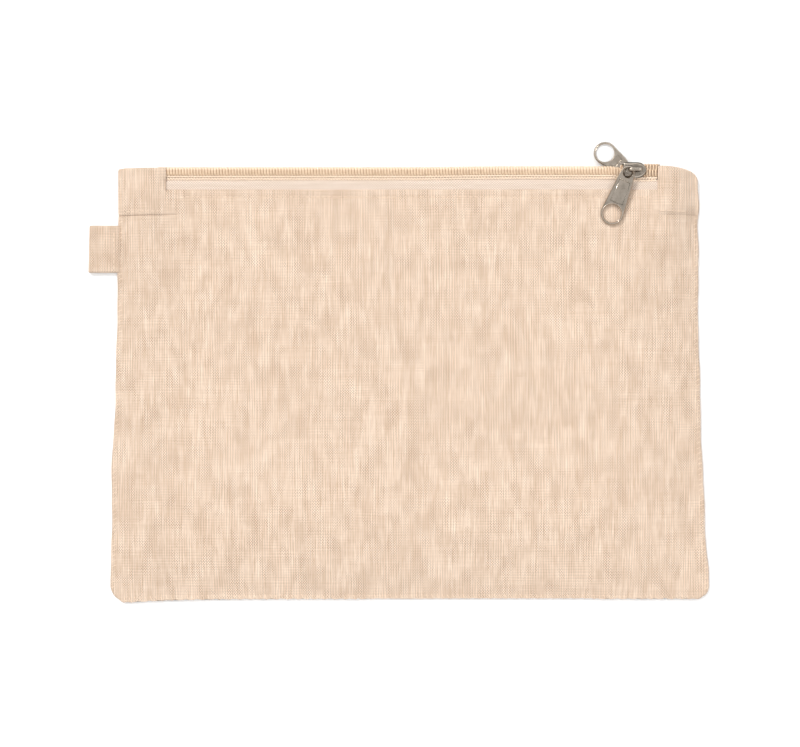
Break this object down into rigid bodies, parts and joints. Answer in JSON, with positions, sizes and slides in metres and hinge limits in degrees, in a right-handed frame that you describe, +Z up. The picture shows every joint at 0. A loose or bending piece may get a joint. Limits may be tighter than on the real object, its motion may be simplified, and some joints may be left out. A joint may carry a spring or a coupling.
{
  "type": "cash deposit bag",
  "caption": "Flat cotton canvas zip pouch for cash, with folded end tabs, a fabric loop in the side seam and a metal zip slider with a pull on each face.",
  "frame": {"origin": "underside of the back panel, on the table, under the middle of the bag", "axes": "+X along the zip towards the slider's end, +Y from the bottom seam to the zip edge, +Z up from the table"},
  "size_m": [0.2973, 0.219, 0.0129],
  "materials": {
    "canvas": "natural unbleached cotton canvas, plain weave with slubs",
    "zip_tape": "finely woven off-white tape",
    "zip_coil": "beige nylon coil",
    "thread": "beige polyester sewing thread",
    "nickel": "polished nickel plate with light handling marks"
  },
  "bodies": {
    "bag": {"back_panel": "canvas", "front_panel": "canvas", "left_end_tab": "canvas", "right_end_tab": "canvas", "front_zip_tape": "zip_tape", "back_zip_tape": "zip_tape", "front_zip_coil": "zip_coil", "back_zip_coil": "zip_coil", "front_coil_cord": "thread", "back_coil_cord": "thread", "front_hem_thread": "thread", "back_hem_thread": "thread", "front_coil_thread": "thread", "back_coil_thread": "thread", "left_tab_thread": "thread", "right_tab_thread": "thread", "left_seam_thread": "thread", "right_seam_thread": "thread", "bottom_seam_thread": "thread"},
    "loop": {"side_loop": "canvas", "loop_thread": "thread"},
    "slider": {"slider_body": "nickel", "front_bridge": "nickel", "back_bridge": "nickel"},
    "front_pull": {"front_pull": "nickel"},
    "back_pull": {"back_pull": "nickel"}
  },
  "joints": [
    {"name": "zip_slide", "type": "slide", "parent": "bag", "child": "slider", "axis": [-1, 0, 0], "range_m": [0, 0.2], "deforming": ["back_zip_coil", "back_coil_cord"]},
    {"name": "front_pull_lift", "type": "hinge", "parent": "slider", "child": "front_pull", "pos_m": [0.1057, 0.1017, 0.0106], "axis": [-1, 0, 0], "range_deg": [0, 30]},
    {"name": "back_pull_swivel", "type": "hinge", "parent": "slider", "child": "back_pull", "pos_m": [0.1057, 0.1017, 0.0038], "axis": [0, 0, 1], "range_deg": [-40, 0]},
    {"name": "loop_fold", "type": "hinge", "parent": "bag", "child": "loop", "pos_m": [-0.1391, 0.0644, 0.0018], "axis": [0, 1, 0], "range_deg": [0, 100]}
  ]
}
